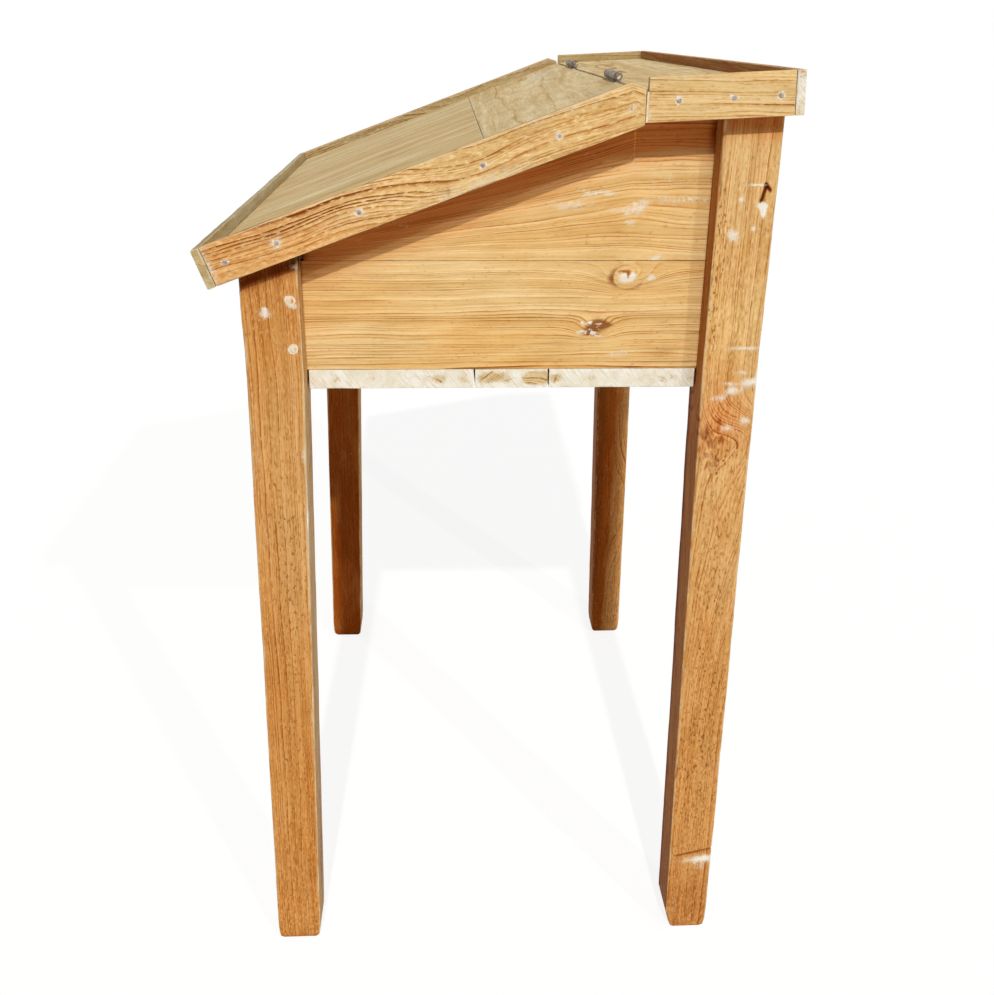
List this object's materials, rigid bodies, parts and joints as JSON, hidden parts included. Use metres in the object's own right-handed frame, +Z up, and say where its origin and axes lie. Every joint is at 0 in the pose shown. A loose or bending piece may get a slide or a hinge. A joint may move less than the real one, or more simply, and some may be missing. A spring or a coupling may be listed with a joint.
{
  "type": "school desk",
  "caption": "Slope-top wooden school desk: a hinged writing lid over a storage case, with a level pen shelf behind it, on tall tapered legs.",
  "frame": {"origin": "on the floor, midway between the sides and midway between the lid's front edge and the back edging", "axes": "+X to the writer's right, +Y away from the writer, +Z up"},
  "size_m": [0.75, 0.5012, 0.9179],
  "materials": {
    "pine_stripped": "waxed",
    "pine_top": "worn",
    "pine_painted": "old white paint",
    "wood_peg": "waxed",
    "iron_hinge": "dull, rust brown",
    "steel_nail": "dull"
  },
  "bodies": {
    "case": {"leg_front_left": "pine_stripped", "leg_front_right": "pine_stripped", "leg_rear_left": "pine_stripped", "leg_rear_right": "pine_stripped", "side_panel_lower_left": "pine_stripped", "side_panel_lower_right": "pine_stripped", "side_panel_upper_left": "pine_stripped", "side_panel_upper_right": "pine_stripped", "front_apron": "pine_stripped", "back_panel_lower": "pine_stripped", "back_panel_upper": "pine_stripped", "shelf_edging_left": "pine_stripped", "shelf_edging_right": "pine_stripped", "back_edging": "pine_stripped", "floor_board_front": "pine_painted", "floor_board_middle": "pine_painted", "floor_board_rear": "pine_painted", "shelf_board": "pine_top", "leg_pegs": "wood_peg", "floor_nails": "steel_nail", "shelf_edging_nails": "steel_nail", "shelf_nails": "steel_nail", "fixed_leaf_screws": "steel_nail", "hinge_leaf_fixed_left": "iron_hinge", "hinge_leaf_fixed_right": "iron_hinge", "hinge_pin_left": "iron_hinge", "hinge_pin_right": "iron_hinge"},
    "lid": {"lid_edging_left": "pine_stripped", "lid_edging_right": "pine_stripped", "lid_edging_front": "pine_stripped", "lid_head_board": "pine_top", "lid_board_left": "pine_top", "lid_board_middle": "pine_top", "lid_board_right": "pine_top", "lid_batten_front": "pine_top", "lid_batten_rear": "pine_top", "lid_edging_nails": "steel_nail", "batten_nails": "steel_nail", "lid_leaf_screws": "steel_nail", "hinge_leaf_lid_left": "iron_hinge", "hinge_leaf_lid_right": "iron_hinge"}
  },
  "joints": [
    {"name": "lid_hinge", "type": "hinge", "parent": "case", "child": "lid", "pos_m": [0, 0.12231, 0.9053], "axis": [-1, 0, 0], "range_deg": [0, 70]}
  ]
}
